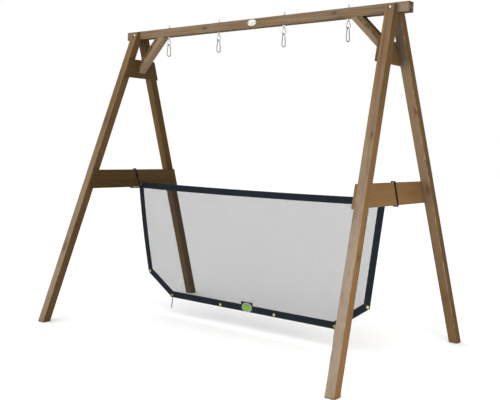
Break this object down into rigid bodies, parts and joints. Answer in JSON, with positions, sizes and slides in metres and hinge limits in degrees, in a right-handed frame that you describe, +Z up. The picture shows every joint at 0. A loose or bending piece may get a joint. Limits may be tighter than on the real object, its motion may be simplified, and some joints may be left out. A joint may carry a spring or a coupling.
{
  "type": "wooden play frame",
  "caption": "Free-standing wooden play frame: a beam on braced A-frames with swinging snap hooks on eye bolts, and a hemmed catch net lashed between the crossbars.",
  "frame": {"origin": "on the ground, at the middle of the four feet, under the beam's middle", "axes": "+X along the beam to the right as seen from the front, +Y to the back, where the net hangs, +Z up"},
  "size_m": [2.9148, 1.87, 2.53],
  "materials": {
    "timber": "planed pressure-treated softwood, weathered brown",
    "zinc_steel": "zinc plated",
    "snap_steel": "zinc plated, drawn wire",
    "peg_steel": "dark plain steel",
    "brass": "dull brass",
    "net_cord": "fine woven mesh",
    "hem_webbing": "woven webbing",
    "lashing_rope": "braided cord",
    "badge_plastic": "satin",
    "patch_cloth": "coated cloth",
    "badge_green": "printed, bare of any sign"
  },
  "bodies": {
    "root": {"top_beam": "timber", "leg_front_left": "timber", "leg_front_right": "timber", "leg_back_left": "timber", "leg_back_right": "timber", "upper_board_left": "timber", "upper_board_right": "timber", "crossbar_left": "timber", "crossbar_right": "timber", "knee_brace_left": "timber", "knee_brace_right": "timber", "leg_bolt_left": "zinc_steel", "leg_bolt_right": "zinc_steel", "leg_washer_left": "zinc_steel", "leg_washer_right": "zinc_steel", "leg_nut_left": "zinc_steel", "leg_nut_right": "zinc_steel", "eye_bolt_1": "zinc_steel", "eye_bolt_2": "zinc_steel", "eye_bolt_3": "zinc_steel", "eye_bolt_4": "zinc_steel", "hook_washer_1": "zinc_steel", "hook_washer_2": "zinc_steel", "hook_washer_3": "zinc_steel", "hook_washer_4": "zinc_steel", "hook_nut_1": "zinc_steel", "hook_nut_2": "zinc_steel", "hook_nut_3": "zinc_steel", "hook_nut_4": "zinc_steel", "catch_net": "net_cord", "net_hem": "hem_webbing", "eyelet_top_left": "brass", "eyelet_top_right": "brass", "eyelet_side_left": "brass", "eyelet_side_right": "brass", "eyelet_bottom_left": "brass", "eyelet_bottom_right": "brass", "eyelet_bottom_mid_left": "brass", "eyelet_bottom_mid_right": "brass", "lashing_left": "lashing_rope", "lashing_right": "lashing_rope", "ground_peg_left": "peg_steel", "ground_peg_right": "peg_steel", "beam_badge": "badge_plastic", "hem_patch": "patch_cloth", "hem_badge": "badge_green"},
    "snap_1": {"carabiner_1": "snap_steel", "carabiner_pin_1": "snap_steel"},
    "snap_2": {"carabiner_2": "snap_steel", "carabiner_pin_2": "snap_steel"},
    "snap_3": {"carabiner_3": "snap_steel", "carabiner_pin_3": "snap_steel"},
    "snap_4": {"carabiner_4": "snap_steel", "carabiner_pin_4": "snap_steel"},
    "gate_1": {"carabiner_gate_1": "snap_steel"},
    "gate_2": {"carabiner_gate_2": "snap_steel"},
    "gate_3": {"carabiner_gate_3": "snap_steel"},
    "gate_4": {"carabiner_gate_4": "snap_steel"}
  },
  "joints": [
    {"name": "snap_1_swing", "type": "hinge", "parent": "root", "child": "snap_1", "pos_m": [-0.9, 0, 2.357], "axis": [1, 0, 0], "range_deg": [-90, 90]},
    {"name": "snap_2_swing", "type": "hinge", "parent": "root", "child": "snap_2", "pos_m": [-0.33, 0, 2.357], "axis": [1, 0, 0], "range_deg": [-90, 90]},
    {"name": "snap_3_swing", "type": "hinge", "parent": "root", "child": "snap_3", "pos_m": [0.33, 0, 2.357], "axis": [1, 0, 0], "range_deg": [-90, 90]},
    {"name": "snap_4_swing", "type": "hinge", "parent": "root", "child": "snap_4", "pos_m": [0.9, 0, 2.357], "axis": [1, 0, 0], "range_deg": [-90, 90]},
    {"name": "gate_1_hinge", "type": "hinge", "parent": "snap_1", "child": "gate_1", "pos_m": [-0.9, -0.01493, 2.34621], "axis": [1, 0, 0], "range_deg": [0, 32], "stiffness_Nm_per_rad": 0.1, "springref_deg": -34.38},
    {"name": "gate_2_hinge", "type": "hinge", "parent": "snap_2", "child": "gate_2", "pos_m": [-0.33, -0.01493, 2.34621], "axis": [1, 0, 0], "range_deg": [0, 32], "stiffness_Nm_per_rad": 0.1, "springref_deg": -34.38},
    {"name": "gate_3_hinge", "type": "hinge", "parent": "snap_3", "child": "gate_3", "pos_m": [0.33, -0.01493, 2.34621], "axis": [1, 0, 0], "range_deg": [0, 32], "stiffness_Nm_per_rad": 0.1, "springref_deg": -34.38},
    {"name": "gate_4_hinge", "type": "hinge", "parent": "snap_4", "child": "gate_4", "pos_m": [0.9, -0.01493, 2.34621], "axis": [1, 0, 0], "range_deg": [0, 32], "stiffness_Nm_per_rad": 0.1, "springref_deg": -34.38}
  ]
}
